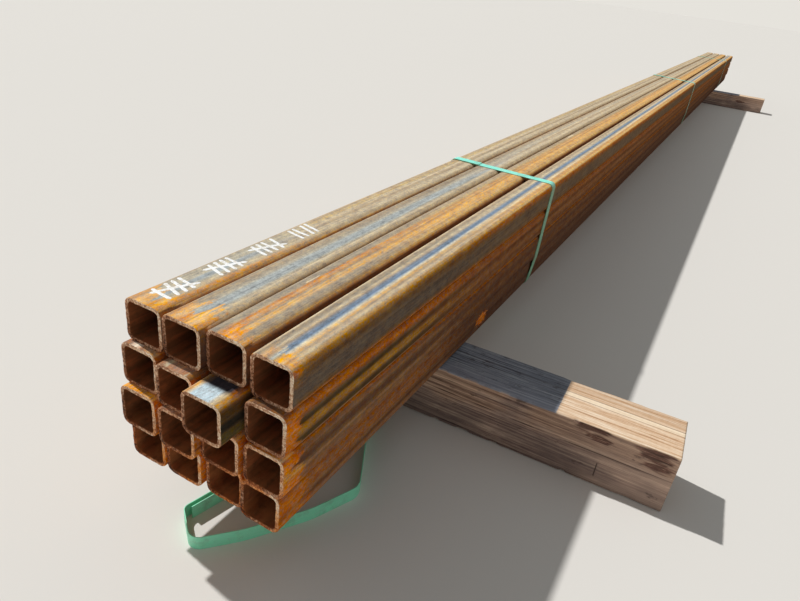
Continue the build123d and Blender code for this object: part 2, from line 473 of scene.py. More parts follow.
# %% Bands of the hidden tubes
PLAIN_TOPS = [
    [(0.0, "edge_highlight_tan"), (0.25, "tan"), (0.5, "cool_grey"), (0.8, "tan"), (1.0, "edge_highlight_tan")],
    [(0.0, "rust"), (0.3, "gold"), (0.45, "cool_grey"), (0.7, "beige"), (1.0, "edge_highlight_tan")],
    [(0.0, "edge_highlight_tan"), (0.25, "beige"), (0.6, "gold"), (0.8, "tan"), (1.0, "rust")],
]
SHADED_TOP = [(0.0, "brown"), (0.5, "umber"), (0.85, "rust"), (1.0, "hot_rust")]
PLAIN_SIDES = [
    [(0.0, "brown"), (0.2, "deep_brown"), (0.5, "soot_brown"), (0.8, "brown"), (1.0, "deep_brown")],
    [(0.0, "deep_brown"), (0.3, "brown"), (0.6, "soot_brown"), (1.0, "deep_brown")],
    [(0.0, "brown"), (0.2, "deep_brown"), (0.5, "brown"), (0.75, "soot_brown"), (1.0, "brown")],
]
# A gap side: a painted highlight at its upper edge, then dark brown below, a painted shade in the gap.
PALE_GAP = [(0.0, "edge_highlight_pale"), (0.05, "tan"), (0.12, "deep_brown"), (0.4, "soot_brown"),
            (1.0, "deep_brown")]
GOLD_GAP = [(0.0, "edge_highlight_gold"), (0.05, "copper"), (0.12, "deep_brown"), (0.4, "soot_brown"),
            (1.0, "brown")]
LEFT_SIDES = [
    [(0.0, "brown"), (0.15, "rust_orange"), (0.35, "dust"), (0.55, "stone"), (0.75, "gold"),
     (0.88, "copper"), (1.0, "edge_highlight_tan")],
    [(0.0, "umber"), (0.2, "dust"), (0.42, "steel_grey"), (0.6, "straw"), (0.8, "rust_orange"),
     (1.0, "tan")],
    [(0.0, "rust"), (0.22, "copper"), (0.4, "dust"), (0.6, "gold"), (0.8, "umber"), (1.0, "tan")],
]
CUT_TOPS = {
    "upper_1": [(0.0, "crust_brown"), (0.25, "crust_pink"), (0.42, "crust_white"), (0.55, "crust_pink"),
                (0.8, "copper"), (1.0, "edge_highlight_brown")],
    "upper_2": [(0.0, "crust_brown"), (0.3, "crust_pink"), (0.7, "crust_pink"), (1.0, "brown")],
    # upper_4's strip is dark brown, a painted shade under the tube above.
    "upper_4": [(0.0, "brown"), (0.5, "deep_brown"), (0.8, "brown"), (1.0, "rust")],
    "lower_1": [(0.0, "corner_gold"), (0.3, "cut_orange"), (0.7, "corner_gold"), (1.0, "edge_highlight_brown")],
    "lower_2": [(0.0, "crust_brown"), (0.4, "crust_pink"), (0.8, "crust_brown"), (1.0, "rust")],
}
CUT_TOP = [(0.0, "rust_orange"), (0.4, "hot_rust"), (1.0, "edge_highlight_brown")]
# At the cut, the right sides of the top and upper rows hide between tubes: dark brown, a painted shade.
CUT_SIDES = {
    "top": [(0.0, "brown"), (0.3, "deep_brown"), (1.0, "soot_brown")],
    "upper": [(0.0, "rust"), (0.25, "deep_brown"), (1.0, "soot_brown")],
    "lower": [(0.0, "bright_rust"), (0.3, "hot_rust"), (0.7, "rust"), (1.0, "hot_rust")],
    "bottom": [(0.0, "bright_rust"), (0.4, "hot_rust"), (1.0, "hot_rust")],
}
CUT_HIDDEN = CUT_SIDES["top"]

# %% Bands of the two left tubes of the top row
SHOWN = {}
SHOWN["tube_top_1"] = dict(
    cut=([(0.0, "edge_highlight_tan"), (0.1, "copper"), (0.2, "cut_tan"), (0.34, "cut_yellow"),
          (0.52, "cut_yellow"), (0.6, "rich_gold"), (0.66, "cut_orange"), (0.74, "amber"),
          (0.8, "amber"), (0.87, "edge_highlight_orange"), (1.0, "edge_highlight_brown")], CUT_HIDDEN),
    near=([(0.0, "edge_highlight_tan"), (0.1, "dust"), (0.2, "stone"), (0.34, "pale_stone"), (0.42, "pale_stone"),
           (0.47, "washed_grey"), (0.56, "washed_grey"), (0.66, "pale_stone"), (0.74, "beige"),
           (0.82, "tan"), (0.9, "edge_highlight_orange"), (1.0, "edge_highlight_brown")], GOLD_GAP),
    far=([(0.0, "edge_highlight_tan"), (0.1, "tan"), (0.2, "tan"), (0.3, "straw"), (0.41, "beige"),
          (0.47, "beige"), (0.54, "tan"), (0.6, "dust"), (0.68, "beige"), (0.75, "beige"),
          (0.84, "beige"), (0.92, "edge_highlight_tan"), (1.0, "edge_highlight_pale")], PALE_GAP),
    changes=(0.22, 0.5), creep=(0.032, 0.02), rust=0.28)
SHOWN["tube_top_2"] = dict(
    cut=([(0.0, "edge_highlight_tan"), (0.13, "copper"), (0.2, "cut_tan"), (0.35, "cut_yellow"),
          (0.42, "cut_tan"), (0.5, "cut_orange"), (0.6, "amber"), (0.68, "cut_yellow"),
          (0.76, "cut_yellow"), (0.84, "amber"), (0.92, "cut_orange"), (1.0, "edge_highlight_brown")], CUT_HIDDEN),
    near=([(0.0, "edge_highlight_tan"), (0.14, "dry_grey"), (0.22, "dust"), (0.3, "dry_grey"), (0.4, "stone"),
           (0.48, "cool_grey"), (0.6, "steel_grey"), (0.68, "cool_grey"), (0.74, "stone"),
           (0.8, "beige"), (0.86, "beige"), (0.93, "edge_highlight_tan"), (1.0, "edge_highlight_pale")], PALE_GAP),
    far=([(0.0, "edge_highlight_tan"), (0.12, "dust"), (0.22, "tan"), (0.32, "stone"), (0.44, "beige"),
          (0.54, "tan"), (0.62, "tan"), (0.7, "beige"), (0.8, "beige"), (0.9, "edge_highlight_tan"),
          (1.0, "edge_highlight_pale")], PALE_GAP),
    changes=(0.8, 0.5), creep=(0.03, 0.02), rust=0.16)
print("banded so far", len(SHOWN))

# %% Bands of the two right tubes of the top row
SHOWN["tube_top_3"] = dict(
    cut=([(0.0, "dust"), (0.1, "dry_grey"), (0.22, "dry_grey"), (0.29, "copper"), (0.36, "rust_orange"),
          (0.42, "cut_orange"), (0.66, "cut_orange"), (0.73, "rich_gold"), (0.8, "copper"),
          (0.86, "gold"), (0.93, "edge_highlight_orange"), (1.0, "edge_highlight_brown")], CUT_HIDDEN),
    near=([(0.0, "edge_highlight_tan"), (0.1, "dry_grey"), (0.22, "dry_grey"), (0.28, "dust"),
           (0.34, "rust_orange"), (0.4, "cut_tan"), (0.46, "copper"), (0.52, "dust"), (0.58, "gold"),
           (0.66, "gold"), (0.72, "dust"), (0.79, "dry_grey"), (0.86, "dust"), (0.92, "tan"),
           (1.0, "gold")], GOLD_GAP),
    far=([(0.0, "edge_highlight_tan"), (0.1, "dust"), (0.2, "tan"), (0.3, "straw"), (0.38, "copper"),
          (0.46, "gold"), (0.53, "copper"), (0.6, "rich_gold"), (0.67, "rich_gold"), (0.76, "gold"),
          (0.86, "gold"), (0.94, "edge_highlight_gold"), (1.0, "edge_highlight_gold")], GOLD_GAP),
    changes=(0.34, 0.5), creep=(0.02, 0.02), rust=0.26,
    chips=[(0.155, 0.068, 0.017, 0.006, "seam_shine"), (1.25, 0.05, 0.03, 0.012, "seam_shine")])
SHOWN["tube_top_4"] = dict(
    cut=([(0.0, "edge_highlight_tan"), (0.1, "tan"), (0.2, "dust"), (0.27, "cut_tan"), (0.35, "cut_tan"),
          (0.41, "tan"), (0.47, "seam_pale"), (0.53, "straw"), (0.59, "amber"), (0.66, "amber"),
          (0.73, "rich_gold"), (0.79, "copper"), (0.85, "cut_yellow"), (0.92, "edge_highlight_orange"),
          (1.0, "edge_highlight_brown")],
         [(0.0, "edge_highlight_brown"), (0.06, "bright_rust"), (0.14, "hot_rust"), (0.24, "umber"),
          (0.4, "brown"), (0.5, "warm_scale"), (0.8, "warm_scale"), (0.9, "rust"), (1.0, "bright_rust")]),
    near=([(0.0, "edge_highlight_tan"), (0.09, "beige"), (0.17, "dust"), (0.25, "dry_grey"), (0.31, "beige"),
           (0.355, "tan"), (0.405, "seam_grey"), (0.45, "seam_dark"), (0.48, "seam_blue"),
           (0.5, "seam_dark"), (0.535, "seam_blue"), (0.575, "seam_pale"), (0.61, "seam_shine"),
           (0.68, "gold"), (0.75, "dust"), (0.8, "tan"), (0.86, "beige"), (0.93, "gold"),
           (1.0, "rich_gold")],
          [(0.0, "corner_gold"), (0.07, "olive_gold"), (0.16, "umber"), (0.26, "dark_umber"),
           (0.35, "far_scale"), (0.46, "warm_scale"), (0.7, "warm_scale"), (0.8, "dark_umber"),
           (0.9, "rust"), (0.96, "corner_rust"), (1.0, "bright_rust")]),
    far=([(0.0, "edge_highlight_tan"), (0.1, "tan"), (0.2, "dust"), (0.3, "beige"), (0.36, "beige"),
          (0.42, "steel_grey"), (0.46, "seam_blue"), (0.5, "seam_dark"), (0.54, "seam_blue"),
          (0.57, "dry_grey"), (0.61, "beige"), (0.67, "seam_shine"), (0.74, "gold"), (0.8, "copper"),
          (0.87, "rich_gold"), (0.94, "edge_highlight_gold"), (1.0, "edge_highlight_gold")],
         [(0.0, "corner_rust"), (0.07, "hot_rust"), (0.16, "far_rust"), (0.25, "umber"),
          (0.36, "far_scale"), (0.7, "far_scale"), (0.84, "umber"), (1.0, "rust")]),
    changes=(0.45, 0.4), creep=(0.024, 0.014), rust=0.12)
print("banded so far", len(SHOWN))

# %% Bands of the right side and of the tube that sticks out
STICKS_OUT_SIDE = [(0.0, "corner_gold"), (0.07, "umber"), (0.16, "olive_dark"), (0.34, "olive_dark"),
                   (0.42, "olive_black"), (0.56, "olive_black"), (0.62, "green_black"), (0.68, "olive"),
                   (0.85, "olive"), (0.93, "umber"), (1.0, "rust")]
# Its near top is mostly near-black from about 20 mm in from the cut, a painted shadow of the tube above;
# its small raggedness keeps that edge straight.
SHOWN["tube_upper_3"] = dict(
    cut=([(0.0, "copper"), (0.07, "rich_gold"), (0.11, "copper"), (0.15, "rich_gold"),
          (0.19, "seam_shine"), (0.25, "chalk_blue"), (0.68, "chalk_blue"), (0.76, "seam_shine"),
          (0.84, "straw"), (0.9, "corner_gold"), (1.0, "edge_highlight_brown")], STICKS_OUT_SIDE),
    near=([(0.0, "edge_highlight_brown"), (0.15, "umber"), (0.3, "painted_shadow_black"), (0.8, "painted_shadow_black"),
           (0.9, "rust"), (1.0, "rust_orange")], STICKS_OUT_SIDE),
    far=(SHADED_TOP, PLAIN_SIDES[1]),
    changes=(0.5, 0.5), creep=(0.021, 0.021), ragged=0.05, rust=0.02)
SHOWN["tube_upper_4"] = dict(
    cut=(CUT_TOPS["upper_4"],
         [(0.0, "hot_rust"), (0.2, "bright_rust"), (0.4, "bright_rust"), (0.5, "hot_rust"),
          (0.6, "bright_rust"), (0.85, "hot_rust"), (1.0, "hot_rust")]),
    near=(SHADED_TOP,
          [(0.0, "hot_rust"), (0.12, "hot_rust"), (0.19, "far_rust"), (0.26, "dark_umber"),
           (0.33, "green_black"), (0.4, "olive_dark"), (0.46, "olive_gold"), (0.61, "olive_gold"),
           (0.68, "umber"), (0.75, "green_black"), (0.83, "olive_dark"), (0.9, "pale_line"),
           (0.97, "brown"), (1.0, "rust")]),
    far=(SHADED_TOP,
         [(0.0, "far_rust"), (0.18, "far_rust"), (0.27, "far_umber"), (0.36, "far_umber"),
          (0.5, "far_brown"), (0.62, "far_brown"), (0.7, "far_umber"), (0.8, "far_umber"),
          (0.9, "umber"), (1.0, "deep_brown")]),
    changes=(0.5, 0.3), creep=(0.018, 0.021), ragged=0.6, rust=0.2)
SHOWN["tube_lower_4"] = dict(
    cut=(CUT_TOP, [(0.0, "bright_rust"), (0.2, "bright_rust"), (0.5, "corner_gold"), (0.6, "hot_rust"),
                   (0.8, "bright_rust"), (1.0, "bright_rust")]),
    near=(SHADED_TOP,
          [(0.0, "dusty_brown"), (0.1, "dusty_brown"), (0.2, "umber"), (0.28, "deep_brown"),
           (0.36, "deep_brown"), (0.45, "umber"), (0.53, "pale_line"), (0.57, "pale_line"),
           (0.62, "umber"), (0.69, "dusty_brown"), (0.8, "dusty_brown"), (0.89, "rust"),
           (0.93, "umber"), (1.0, "dusty_brown")]),
    far=(SHADED_TOP,
         [(0.0, "far_umber"), (0.15, "far_umber"), (0.26, "deep_brown"), (0.36, "deep_brown"),
          (0.48, "far_umber"), (0.6, "far_umber"), (0.72, "deep_brown"), (0.85, "soot_brown"),
          (1.0, "deep_brown")]),
    changes=(0.5, 0.3), creep=(0.02, 0.031), ragged=0.5, rust=0.2)
SHOWN["tube_bottom_4"] = dict(
    cut=(CUT_TOP, [(0.0, "far_rust"), (0.25, "hot_rust"), (0.5, "hot_rust"), (0.62, "rust"),
                   (0.78, "hot_rust"), (1.0, "rust")]),
    near=(SHADED_TOP,
          [(0.0, "rust"), (0.1, "rust"), (0.2, "dusty_brown"), (0.3, "far_rust"), (0.4, "rust"),
           (0.47, "dusty_brown"), (0.54, "brown"), (0.61, "deep_brown"), (0.67, "far_umber"),
           (0.75, "dusty_brown"), (0.9, "dusty_brown"), (1.0, "brown")]),
    far=(SHADED_TOP,
         [(0.0, "deep_brown"), (0.3, "deep_brown"), (0.45, "soot_brown"), (0.6, "soot_brown"),
          (0.8, "soot_brown"), (1.0, "soot_brown")]),
    changes=(0.5, 0.35), creep=(0.02, 0.045), ragged=0.7, rust=0.2,
    chips=[(0.53, 0.375, 0.024, 0.055, "bright_rust")])
print("bands of their own", list(SHOWN))

# %% Sixteen skins
skins = {}
for number, name in enumerate(tube_names):
    plain = (PLAIN_TOPS[number % len(PLAIN_TOPS)], PLAIN_SIDES[(number + 1) % len(PLAIN_SIDES)])
    row, column = name.split("_")[1:]
    at_cut = (CUT_TOPS.get(f"{row}_{column}", CUT_TOP), CUT_SIDES[row])
    hidden = dict(cut=at_cut, near=plain, far=plain, changes=(0.5, 0.5), creep=(0.03, 0.03), rust=0.15)
    skins[name] = steel_skin(name, SHOWN.get(name, hidden), LEFT_SIDES[number % len(LEFT_SIDES)])
print("skins", len(skins))

# %% [markdown]
# The cut ends were sawn, and the bare steel has since gone speckled: pale crusts beside dark pits, and
# more orange in the lower rows, where damp stays longer. Inside, the bore is stained in streaks, and its
# floor is painted lighter and its ceiling darker as painted light and shade, which the surface's own
# normal tells apart. The damp reaches the cut ends and the bores alike, so its mask is a group, and
# each of the two says how damp its top and bottom rows are.

# %% A steel surface from a function
def plain_steel(name, colour_of, roughness, specular, bump_height):
    """A steel material whose colour and height come from a function of its tree."""
    material, tree, shader = new_material(name)
    place = put(tree, "TexCoord").outputs["Object"]
    colour, height = colour_of(tree, place)
    feed(tree, shader.inputs["Base Color"], colour)
    shader.inputs["Roughness"].default_value = roughness
    shader.inputs["Specular IOR Level"].default_value = specular
    bump = put(tree, "Bump", {"Height": height, "Distance": bump_height, "Strength": 0.8})
    feed(tree, shader.inputs["Normal"], bump.outputs[0])
    return material


# %% Damp by row
def make_damp_rows():
    """Mask of the damp, which changes from the bottom row's amount to the top row's, in patches."""
    inputs = {"Bottom row": ("Float", 1.0), "Top row": ("Float", 0.2)}
    tree, given, made = new_group("Damp rows", inputs, {"Mask": "Float"})
    place = put(tree, "TexCoord").outputs["Object"]
    height = put(tree, "SeparateXYZ", {0: place}).outputs["Z"]
    start, end = underside + 0.4 * tube_width, underside + 2.6 * tube_width
    by_row = rise(tree, height, start, end, given["Bottom row"], given["Top row"])
    patches = clouds(tree, place, (50.0, 50.0, 50.0))
    feed(tree, made["Mask"], calc(tree, "MULTIPLY", by_row, rise(tree, patches, 0.3, 0.6)))
    return tree


damp_rows = make_damp_rows()
print("group", damp_rows.name, "with", len(damp_rows.nodes), "nodes")


# %% Cut ends
def cut_colours(tree, place):
    """Speckles of pale crust and dark pits, paler on the right walls and more orange lower down."""
    specks = clouds(tree, place, (380.0, 380.0, 380.0), detail=4.0, roughness=0.7)
    paler = uneven(tree, specks, clouds(tree, place, (45.0, 45.0, 45.0), detail=2.0), 0.3)
    crusted = put(tree, "Attribute", attribute_name="crust").outputs["Fac"]
    paler = uneven(tree, paler, crusted, 0.3)
    crust = finish_ramp(tree, paler, [(0.32, "crust_dark"), (0.41, "crust_brown"), (0.52, "crust_pink"),
                                      (0.62, "crust_pale"), (0.72, "crust_white")])
    damp = use_group(tree, damp_rows, {"Bottom row": 1.0, "Top row": 0.2})["Mask"]
    orange = mix(tree, 1.0, crust, FINISHES["crust_orange"], "MULTIPLY")
    return mix(tree, damp, crust, orange), specks


cut_end = plain_steel("sawn_end", cut_colours, 0.85, 0.15, 0.6 * mm)
print("material", cut_end.name)


# %% Bores
def bore_colours(tree, place):
    """Lengthwise red-brown streaks near the mouths and low rows, with painted floor light and ceiling
    shade.
    """
    streaks = clouds(tree, place, (5.0, 140.0, 140.0), detail=4.0)
    mottle = clouds(tree, place, (70.0, 110.0, 110.0), detail=5.0, roughness=0.7)
    both = calc(tree, "MULTIPLY_ADD", streaks, 0.45, calc(tree, "MULTIPLY", mottle, 0.55))
    facing = put(tree, "SeparateXYZ", {0: put(tree, "NewGeometry").outputs["Normal"]}).outputs["Z"]
    # Painted light and shade: lighter on the bore's floor and darker on its ceiling.
    floor_light_ceiling_shade = rise(tree, facing, -0.9, 0.9, -0.07, 0.07)
    both = calc(tree, "ADD", both, floor_light_ceiling_shade)
    stain = finish_ramp(tree, both, [(0.4, "bore_dark"), (0.5, "bore_brown"), (0.62, "bore_red")])
    along = put(tree, "SeparateXYZ", {0: place}).outputs["X"]
    from_near = calc(tree, "SUBTRACT", along, near_end)
    from_far = calc(tree, "SUBTRACT", far_end, along)
    inwards = calc(tree, "MINIMUM", from_near, from_far)
    mouth = rise(tree, uneven(tree, inwards, mottle, 0.14), 0.0, 0.05, 0.3, 0.0)
    damp = use_group(tree, damp_rows, {"Bottom row": 0.7, "Top row": 0.0})["Mask"]
    return mix(tree, calc(tree, "MAXIMUM", mouth, damp), stain, FINISHES["rust"]), mottle


bore = plain_steel("bore_scale", bore_colours, 0.85, 0.05, 0.3 * mm)
print("material", bore.name)

# %% [markdown]
# A tube's mesh could be the frame's own, which has few faces round a corner and a knife-sharp end. A
# finer one costs little: the same rounded square, swept from end to end. The cut rims are nibbled: the
# saw's burrs have rusted off unevenly, so every point of the rim is drawn in by its own few tenths of
# a millimetre. Each point also remembers how much pale crust it carries, most on the right and upper
# walls. The mesh is unrolled flat in its picture map with the near end stretched out, so that a baked
# picture is finest where people look closest.

# %% Outline of a tube
CORNER_STEPS = 8
FLAT_STEPS = 22


def rounded_square(width, corner):
    """Points round a square with rounded corners, from the top left corner over the top and on round."""
    reach = width / 2 - corner
    points = []
    for quarter in range(4):
        turned = Matrix.Rotation(math.pi / 2 * quarter, 2)
        for step in range(FLAT_STEPS):
            points.append(turned @ Vector((reach - 2 * reach * step / FLAT_STEPS, width / 2)))
        for step in range(CORNER_STEPS):
            angle = math.pi / 2 + math.pi / 2 * step / CORNER_STEPS
            across, up = -reach + corner * math.cos(angle), reach + corner * math.sin(angle)
            points.append(turned @ Vector((across, up)))
    return points


def share_along(share):
    """Where a place along the tube goes on its map: the near third of the tube takes over half of it."""
    return share ** 0.6


print("points round a tube", len(rounded_square(tube_width, tube_corner)))

# %% Wear of a cut rim
RIM_WEAR = 0.4 * mm
OUTER_WEAR, INNER_WEAR = 0.22 * mm, 0.3 * mm


def nibbled(point, spot, shrink):
    """A point of the rim drawn off its face by its own amount, and how far it is drawn in from the end."""
    nibble = 0.5 + 0.9 * noise.noise(spot * 330.0) + 0.7 * noise.noise(spot * 90.0)
    across = point * (1.0 - shrink * max(0.15, 0.4 + 1.4 * nibble) / point.length)
    depth = RIM_WEAR * min(1.5, max(0.1, 0.35 + 1.1 * noise.noise(spot * 210.0)))
    return across, depth


def crust_at(point):
    """How much pale crust a point of the rim carries, from 0 to 1."""
    rightwards, upwards = -2 * point.x / tube_width, 2 * point.y / tube_width
    return min(1.0, max(0.0, 0.6 + 0.3 * rightwards + 0.22 * upwards))


for corner_name, corner_point in (("top right", Vector((-1, 1))), ("bottom left", Vector((1, -1)))):
    print("crust at the", corner_name, "corner", round(crust_at(corner_point * tube_width / 2), 2))

# %% Mesh of one tube
STATION_SHARES = [0.0, 0.02, 0.06, 0.12, 0.2, 0.3, 0.42, 0.56, 0.7, 0.85, 1.0]
MAP_EDGE = 0.02
SKIN_TALL = 0.52
BORE_FOOT, BORE_TALL = 0.57, 0.28
ENDS_FOOT, END_SCALE = 0.88, 2.0
NEAR_END_LEFT, FAR_END_LEFT = 0.02, 0.2


def tube_mesh(name):
    """The named tube as a fine mesh: skin in slot 0, cut ends in slot 1, bore in slot 2."""
    low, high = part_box(name)
    middle = (low + high) / 2
    length = high.x - low.x
    outside = rounded_square(tube_width, tube_corner)
    inside = rounded_square(tube_width - 2 * tube_wall, tube_corner - tube_wall)
    stations = [low.x + 2 * RIM_WEAR + (length - 4 * RIM_WEAR) * share for share in STATION_SHARES]
    mesh = bmesh.new()
    picture = mesh.loops.layers.uv.new("OFBake")
    crust = mesh.verts.layers.float.new("crust")
    count = len(outside)

    def ring(points, x):
        return [mesh.verts.new((x, middle.y + point.x, middle.z + point.y)) for point in points]

    def rim(points, x, inwards, shrink):
        """A ring at the cut, each point drawn in from the end and off the face by its own amount."""
        made = []
        for point in points:
            spot = Vector((x, middle.y + point.x, middle.z + point.y))
            across, depth = nibbled(point, spot, shrink)
            vertex = mesh.verts.new((x + inwards * depth, middle.y + across.x, middle.z + across.y))
            vertex[crust] = crust_at(point)
            made.append(vertex)
        return made

    def skirt(first, second, slot, flip, uv):
        for index in range(count):
            after = (index + 1) % count
            corners = [(first, index), (first, after), (second, after), (second, index)]
            if flip:
                corners.reverse()
            face = mesh.faces.new([side[at] for side, at in corners])
            face.material_index = slot
            face.smooth = True
            for loop, (side, at) in zip(face.loops, corners):
                turn = (index + 1 if at == after else index) / count
                loop[picture].uv = uv(turn, loop.vert.co)

    def along_map(x):
        share = share_along(min(max((x - low.x) / length, 0.0), 1.0))
        return MAP_EDGE + (1 - 2 * MAP_EDGE) * share

    def end_map(left):
        def uv(turn, place):
            corner_y, corner_z = middle.y - tube_width / 2, middle.z - tube_width / 2
            return left + (place.y - corner_y) * END_SCALE, ENDS_FOOT + (place.z - corner_z) * END_SCALE
        return uv

    def skin_map(turn, place):
        return along_map(place.x), MAP_EDGE + SKIN_TALL * turn

    def bore_map(turn, place):
        return along_map(place.x), BORE_FOOT + BORE_TALL * turn

    skin_rings = [ring(outside, x) for x in stations]
    bore_rings = [ring(inside, x) for x in stations]
    for rings, slot, flip, uv in ((skin_rings, 0, False, skin_map), (bore_rings, 2, True, bore_map)):
        for first, second in zip(rings, rings[1:]):
            skirt(first, second, slot, flip, uv)
    for x, inwards, left, at in ((low.x, 1, NEAR_END_LEFT, 0), (high.x, -1, FAR_END_LEFT, -1)):
        outer = rim(outside, x, inwards, OUTER_WEAR)
        inner = rim(inside, x, inwards, -INNER_WEAR)
        over_the_rim = [skin_rings[at], outer, inner, bore_rings[at]]
        for slot, (first, second) in enumerate(zip(over_the_rim, over_the_rim[1:])):
            skirt(first, second, slot, inwards > 0, end_map(left))
    bmesh.ops.recalc_face_normals(mesh, faces=mesh.faces)
    data = bpy.data.meshes.new(name)
    mesh.to_mesh(data)
    mesh.free()
    return data


# %% [markdown]
# A finished mesh has to be told what it is: which body it rides on, which slot its material belongs to,
# and which of the frame's nodes it stands for, so that the node itself is hidden. Nothing in a stack
# moves, so every piece rides on the one body, the root.

# %% Stand a mesh in for its node
def show(name, data, materials, stands_for=()):
    """Links a mesh as a piece of the stack, with its materials, slot and the nodes it stands for."""
    piece = bpy.data.objects.new(name, data)
    bpy.context.scene.collection.objects.link(piece)
    for material in materials:
        data.materials.append(material)
    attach(piece, "root")
    if stands_for:
        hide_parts(*stands_for)
    return piece


for name in tube_names:
    show("finished_" + name, tube_mesh(name), [skins[name], cut_end, bore], [name])
faces = sum(len(bpy.data.objects["finished_" + name].data.polygons) for name in tube_names)
print("tubes", len(tube_names), "faces", faces)

# %% [markdown]
# Somebody counted the bundles with a paint pen. A few plain tally strokes stand on the top left tube,
# in groups that are crossed through, the last one open. A pen leaves a thin bead of paint with round
# ends, and its edges waver, so each stroke is a low mesh of its own and not a picture: it catches the
# light as paint does.

# %% Pen paint
pen_white, tree, shader = new_material("pen_white")
place = put(tree, "TexCoord").outputs["Object"]
thin = rise(tree, clouds(tree, place, (300.0, 300.0, 300.0)), 0.32, 0.55)
feed(tree, shader.inputs["Base Color"], mix(tree, thin, paint(222, 214, 200), paint(248, 249, 248)))
shader.inputs["Roughness"].default_value = 0.5
print("material", pen_white.name)

# %% One stroke of the pen
STROKE_WIDTH = 4.3 * mm
STROKE_HEIGHT = 0.15 * mm
STROKE_STEPS = 18
THINNEST_HALF = 0.05 * mm
OFF_THE_STEEL = 0.02 * mm


def stroke(mesh, start, end, bend):
    """A bead of paint from start to end on the top face, slightly bowed and wavering."""
    run = end - start
    side = Vector((-run.y, run.x)).normalized()
    rows = []
    for step in range(STROKE_STEPS + 1):
        share = step / STROKE_STEPS
        middle = start + run * share + side * bend * math.sin(math.pi * share)
        round_end = min(1.0, min(share, 1.0 - share) * run.length / (STROKE_WIDTH / 2))
        waver = 1.0 + 0.22 * noise.noise(Vector((middle.x * 260, middle.y * 260, 0)))
        full = math.sqrt(max(0.0, 1.0 - (1.0 - round_end) ** 2))
        half = STROKE_WIDTH / 2 * waver * full + THINNEST_HALF
        row = []
        for across in (-1.0, -0.7, 0.0, 0.7, 1.0):
            spot = middle + side * across * half
            lift = STROKE_HEIGHT * (1.0 - across * across) + OFF_THE_STEEL
            row.append(mesh.verts.new((spot.x, spot.y, tube_high.z + lift)))
        rows.append(row)
    for first, second in zip(rows, rows[1:]):
        for left in range(4):
            face = mesh.faces.new((first[left], second[left], second[left + 1], first[left + 1]))
            face.smooth = True


# %% The tally
STROKE_PITCH = 11 * mm
STROKES_A_GROUP = 4
GROUP_STARTS = [24 * mm, 98 * mm, 172 * mm, 246 * mm]
INNER_MARGIN, OUTER_MARGIN = 11 * mm, 9 * mm
SLASH_BACK, SLASH_RUN, SLASH_BEND = 6 * mm, 52 * mm, 1.0 * mm
SLASH_START, SLASH_END = 6 * mm, 5 * mm
mesh = bmesh.new()
top_low, top_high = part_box("tube_top_1")
inner_edge, outer_edge = top_low.y + INNER_MARGIN, top_high.y - OUTER_MARGIN
strokes = 0
for group, group_start in enumerate(GROUP_STARTS):
    for number in range(STROKES_A_GROUP):
        x = top_low.x + group_start + number * STROKE_PITCH
        slant = (3 + 2 * ((number * 7 + group * 3) % 4)) * mm
        stroke(mesh, Vector((x, inner_edge)), Vector((x + slant, outer_edge)), (0.4 - 0.3 * number) * mm)
        strokes += 1
    if group < len(GROUP_STARTS) - 1:
        x = top_low.x + group_start - SLASH_BACK
        start, end = Vector((x, outer_edge - SLASH_START)), Vector((x + SLASH_RUN, inner_edge + SLASH_END))
        stroke(mesh, start, end, SLASH_BEND)
        strokes += 1
bmesh.ops.recalc_face_normals(mesh, faces=mesh.faces)
tally = bpy.data.meshes.new("tally_strokes")
mesh.to_mesh(tally)
mesh.free()
show("tally_strokes", tally, [pen_white])
print("tally strokes", strokes)

# %% [markdown]
# Polyester strapping is drawn out of a die and pressed with a fine waffle, so that a tool's jaws can
# grip it. It is a touch glossy and picks up yard dust. The tight straps and the one that slipped off
# share these effects in different amounts, so they are a group: the waffle's height, rubbed pale lines,
# a painted light on what faces up against a painted shade on the rest, and dust. What faces left is
# painted a deeper green, a painted shade, so that the lamp throws no green glow from it onto the pale
# floor. The frame's own straps have the right shape and keep it, so only their materials are made here.

# %% Green strap, its waffle and its dust
def make_strapping():
    """Green strap with its waffle, rubbed lines, painted light on top, painted shade elsewhere, and dust.
    """
    inputs = {"Shaded": ("Color", (0.1, 0.6, 0.4, 1.0)), "Painted sunlit": ("Color", (0.3, 0.9, 0.6, 1.0)),
              "Dust": ("Float", 0.4)}
    outputs = {"Colour": "Color", "Roughness": "Float", "Height": "Float"}
    tree, given, made = new_group("Strapping", inputs, outputs)
    place = put(tree, "TexCoord").outputs["Object"]
    facing = put(tree, "SeparateXYZ", {0: put(tree, "NewGeometry").outputs["Normal"]}).outputs
    # Faces turned up take the sunlit green, the rest the shaded green: painted light and shade.
    green = mix(tree, rise(tree, facing["Z"], 0.3, 0.9), given["Shaded"], given["Painted sunlit"])
    # What faces left is painted a deeper green, a painted shade against a green glow on the floor.
    green = mix(tree, rise(tree, facing["Y"], 0.3, 0.9, 0.0, 0.75), green, paint(52, 120, 88))
    rubbed = clouds(tree, place, (50.0, 50.0, 700.0), detail=2.0)
    green = mix(tree, rise(tree, rubbed, 0.5, 0.7, 0.0, 0.35), green, paint(186, 246, 222))
    patches = clouds(tree, place, (34.0, 34.0, 34.0), detail=5.0, roughness=0.65)
    dusty = calc(tree, "MULTIPLY", rise(tree, patches, 0.46, 0.68), given["Dust"])
    feed(tree, made["Colour"], mix(tree, dusty, green, paint(136, 132, 104)))
    feed(tree, made["Roughness"], rise(tree, patches, 0.4, 0.7, 0.36, 0.62))
    waffle = put(tree, "TexVoronoi", {"Vector": place, "Scale": 620.0})
    feed(tree, made["Height"], waffle.outputs["Distance"])
    return tree


strapping = make_strapping()
print("group", strapping.name, "with", len(strapping.nodes), "nodes")


